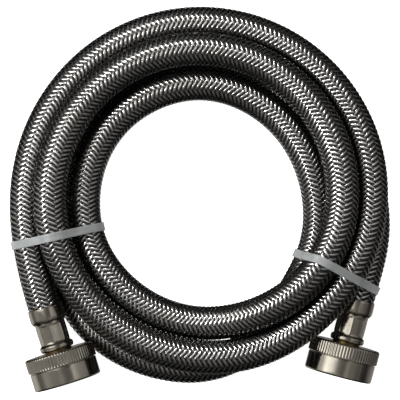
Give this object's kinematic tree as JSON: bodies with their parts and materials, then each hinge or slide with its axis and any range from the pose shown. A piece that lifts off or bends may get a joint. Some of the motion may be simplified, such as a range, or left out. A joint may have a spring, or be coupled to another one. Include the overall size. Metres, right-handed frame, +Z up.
{
  "type": "braided supply line",
  "caption": "Coiled steel-braided fill hose with a crimped ferrule and a knurled swivel nut on each end, held in a flat bundle by cable ties.",
  "frame": {"origin": "bottom centre of the bounding box of the coiled bundle as it lies on a table", "axes": "+Z up through the coil's middle, -Y the way both nut mouths point, +X to the right seen from above"},
  "size_m": [0.1652, 0.1672, 0.0442],
  "materials": {
    "steel_wire_braid": "bright woven flat wire, dark between the strands",
    "plated_ferrule": "nickel-plated, lightly jaw-marked",
    "plated_nut": "nickel-plated, knurled",
    "brass_stem": "turned brass",
    "washer_rubber": "moulded, matt",
    "inner_tube_rubber": "extruded, matt",
    "reinforcement_yarn": "braided black polyester yarn",
    "natural_nylon": "translucent natural nylon, satin"
  },
  "bodies": {
    "hose_bundle": {"inner_tube": "inner_tube_rubber", "yarn_sleeve": "reinforcement_yarn", "steel_braid": "steel_wire_braid", "left_ferrule": "plated_ferrule", "right_ferrule": "plated_ferrule", "left_stem": "brass_stem", "right_stem": "brass_stem", "left_cable_tie": "natural_nylon", "right_cable_tie": "natural_nylon"},
    "left_seal": {"left_washer": "washer_rubber"},
    "right_seal": {"right_washer": "washer_rubber"},
    "left_coupling_nut": {"left_nut": "plated_nut"},
    "right_coupling_nut": {"right_nut": "plated_nut"}
  },
  "joints": [
    {"name": "left_nut_slide", "type": "slide", "parent": "hose_bundle", "child": "left_seal", "axis": [0.297, -0.9549, 0], "range_m": [0, 0.0011]},
    {"name": "left_nut_spin", "type": "hinge", "parent": "left_seal", "child": "left_coupling_nut", "pos_m": [-0.05672, -0.07935, 0.01794], "axis": [0.297, -0.9549, 0], "continuous": true},
    {"name": "right_nut_slide", "type": "slide", "parent": "hose_bundle", "child": "right_seal", "axis": [-0.257, -0.9664, 0], "range_m": [0, 0.0011]},
    {"name": "right_nut_spin", "type": "hinge", "parent": "right_seal", "child": "right_coupling_nut", "pos_m": [0.06043, -0.0764, 0.01534], "axis": [-0.257, -0.9664, 0], "continuous": true}
  ]
}
